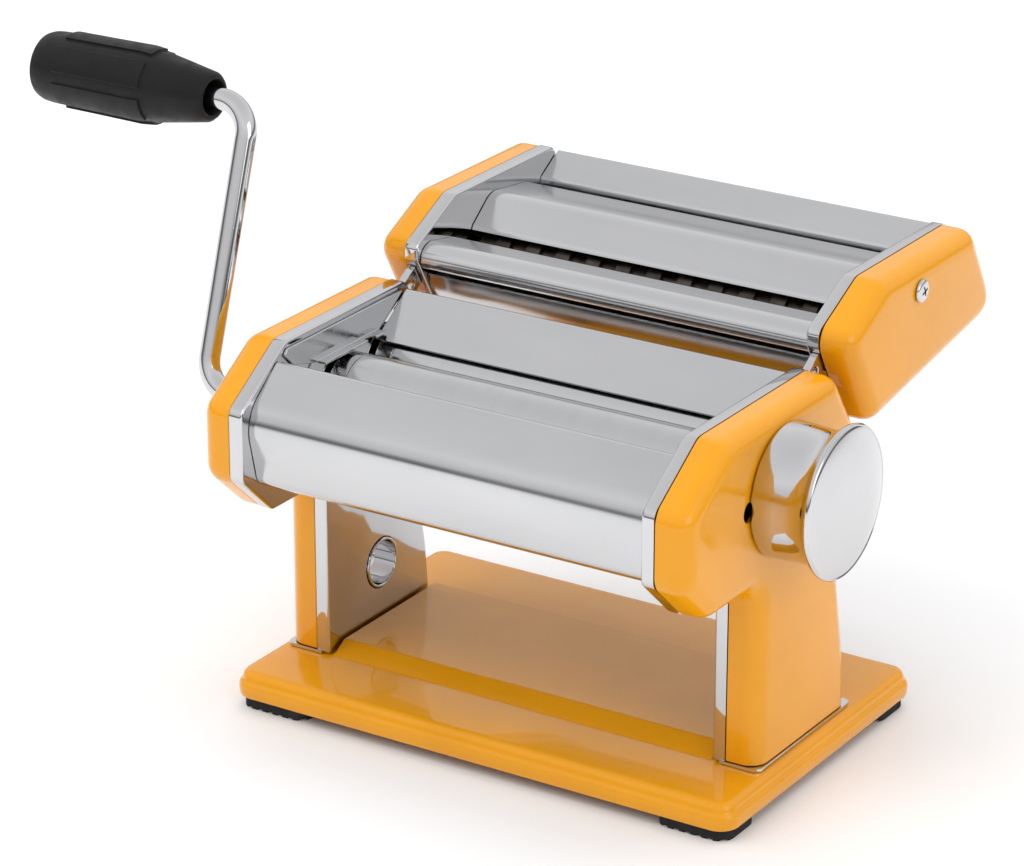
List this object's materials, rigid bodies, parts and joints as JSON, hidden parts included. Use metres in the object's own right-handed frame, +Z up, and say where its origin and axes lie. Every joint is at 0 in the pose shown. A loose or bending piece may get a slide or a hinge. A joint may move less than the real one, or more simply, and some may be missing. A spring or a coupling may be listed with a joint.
{
  "type": "pasta roller machine",
  "caption": "Hand-cranked pasta sheet roller with an adjusting knob, a removable crank and a lift-off noodle cutter head.",
  "frame": {"origin": "centre of the underside of the base plate's raised platform", "axes": "+X along the rollers towards the adjusting knob, +Y from the hopper side to the cutter head side, +Z up"},
  "size_m": [0.3391, 0.2195, 0.226],
  "materials": {
    "amber_enamel": "glossy stoved enamel",
    "chrome_plate": "bright chrome plate",
    "polished_steel": "mirror-polished stainless sheet",
    "ground_roller": "fine-ground plated steel",
    "dark_steel": "plain steel",
    "gear_steel": "oiled steel",
    "bushing_bronze": "sintered bronze",
    "foot_rubber": "matte rubber",
    "grip_plastic": "satin black plastic"
  },
  "bodies": {
    "machine_body": {"base_plate": "amber_enamel", "foot_front_left": "foot_rubber", "foot_front_right": "foot_rubber", "foot_rear_left": "foot_rubber", "foot_rear_right": "foot_rubber", "left_side_plate": "chrome_plate", "right_side_plate": "chrome_plate", "left_side_cover": "amber_enamel", "right_side_cover": "amber_enamel", "clamp_sleeve": "chrome_plate", "tie_rod_front": "chrome_plate", "tie_rod_rear": "chrome_plate", "front_panel": "polished_steel", "hopper_plate": "polished_steel", "left_side_guide": "polished_steel", "right_side_guide": "polished_steel", "rear_bushing_left": "bushing_bronze", "rear_bushing_right": "bushing_bronze", "drive_bushing": "bushing_bronze", "knob_bushing": "bushing_bronze", "front_scraper": "dark_steel", "rear_scraper": "dark_steel"},
    "front_roller_carriage": {"front_bearing_block_left": "bushing_bronze", "front_bearing_block_right": "bushing_bronze"},
    "front_roller_unit": {"front_roller": "ground_roller", "front_roller_gear": "gear_steel"},
    "rear_roller_unit": {"rear_roller": "ground_roller", "rear_roller_gear": "gear_steel"},
    "drive_gear_unit": {"drive_gear": "gear_steel"},
    "crank": {"crank_rod": "chrome_plate"},
    "grip": {"crank_grip": "grip_plastic"},
    "adjuster": {"adjusting_shaft": "dark_steel", "knob_spring": "dark_steel"},
    "knob": {"adjusting_knob": "chrome_plate", "index_pin": "dark_steel"},
    "cutter_head": {"cutter_left_plate": "chrome_plate", "cutter_right_plate": "chrome_plate", "cutter_left_cover": "amber_enamel", "cutter_right_cover": "amber_enamel", "cutter_cover_screw_left": "chrome_plate", "cutter_cover_screw_right": "chrome_plate", "cutter_front_cover": "polished_steel", "cutter_middle_cover": "polished_steel", "cutter_rear_cover": "polished_steel", "cutter_lower_panel": "polished_steel", "wide_comb_front": "dark_steel", "wide_comb_rear": "dark_steel", "thin_comb_front": "dark_steel", "thin_comb_rear": "dark_steel", "cutter_tie_rod_rear": "chrome_plate", "cutter_hook_left": "chrome_plate", "cutter_hook_right": "chrome_plate"},
    "wide_cutter_front_unit": {"wide_cutter_front": "polished_steel", "wide_cutter_gear_front": "gear_steel"},
    "wide_cutter_rear_unit": {"wide_cutter_rear": "polished_steel", "wide_cutter_gear_rear": "gear_steel"},
    "thin_cutter_front_unit": {"thin_cutter_front": "polished_steel", "thin_cutter_gear_front": "gear_steel"},
    "thin_cutter_rear_unit": {"thin_cutter_rear": "polished_steel", "thin_cutter_gear_rear": "gear_steel"}
  },
  "joints": [
    {"name": "drive_spin", "type": "hinge", "parent": "machine_body", "child": "drive_gear_unit", "pos_m": [0, -0.054, 0.0975], "axis": [1, 0, 0], "continuous": true},
    {"name": "roller_gap_slide", "type": "slide", "parent": "machine_body", "child": "front_roller_carriage", "axis": [0, 1, 0], "range_m": [0, 0.0022]},
    {"name": "front_roller_spin", "type": "hinge", "parent": "front_roller_carriage", "child": "front_roller_unit", "pos_m": [0, -0.0274, 0.0987], "axis": [1, 0, 0], "continuous": true},
    {"name": "rear_roller_spin", "type": "hinge", "parent": "machine_body", "child": "rear_roller_unit", "pos_m": [0, 0.0018, 0.0987], "axis": [1, 0, 0], "continuous": true},
    {"name": "crank_pull", "type": "slide", "parent": "drive_gear_unit", "child": "crank", "axis": [-1, 0, 0], "range_m": [0, 0.03]},
    {"name": "grip_spin", "type": "hinge", "parent": "crank", "child": "grip", "pos_m": [0, -0.0223, 0.1946], "axis": [1, 0, 0], "continuous": true},
    {"name": "knob_turn", "type": "hinge", "parent": "machine_body", "child": "adjuster", "pos_m": [0.121, -0.0263, 0.0987], "axis": [1, 0, 0], "range_deg": [0, 300]},
    {"name": "knob_pull", "type": "slide", "parent": "adjuster", "child": "knob", "axis": [1, 0, 0], "range_m": [0, 0.0034], "stiffness_N_per_m": 900, "springref_m": -0.004, "deforming": ["knob_spring"]},
    {"name": "cutter_lift", "type": "slide", "parent": "machine_body", "child": "cutter_head", "axis": [0, 0.8496, 0.5274], "range_m": [0, 0.06]},
    {"name": "wide_cutter_spin", "type": "hinge", "parent": "cutter_head", "child": "wide_cutter_front_unit", "pos_m": [0, 0.0446, 0.1225], "axis": [1, 0, 0], "continuous": true},
    {"name": "wide_cutter_rear_spin", "type": "hinge", "parent": "cutter_head", "child": "wide_cutter_rear_unit", "pos_m": [0, 0.064, 0.1225], "axis": [1, 0, 0], "continuous": true},
    {"name": "thin_cutter_spin", "type": "hinge", "parent": "cutter_head", "child": "thin_cutter_rear_unit", "pos_m": [0, 0.1073, 0.1225], "axis": [1, 0, 0], "continuous": true},
    {"name": "thin_cutter_front_spin", "type": "hinge", "parent": "cutter_head", "child": "thin_cutter_front_unit", "pos_m": [0, 0.0879, 0.1225], "axis": [1, 0, 0], "continuous": true}
  ],
  "couplings": [
    {"joint": "front_roller_spin", "follows": "drive_spin", "ratio": -1},
    {"joint": "rear_roller_spin", "follows": "drive_spin", "ratio": 1},
    {"joint": "roller_gap_slide", "follows": "knob_turn", "m_per_rad": 0.00042},
    {"joint": "wide_cutter_rear_spin", "follows": "wide_cutter_spin", "ratio": -1},
    {"joint": "thin_cutter_front_spin", "follows": "thin_cutter_spin", "ratio": -1}
  ]
}
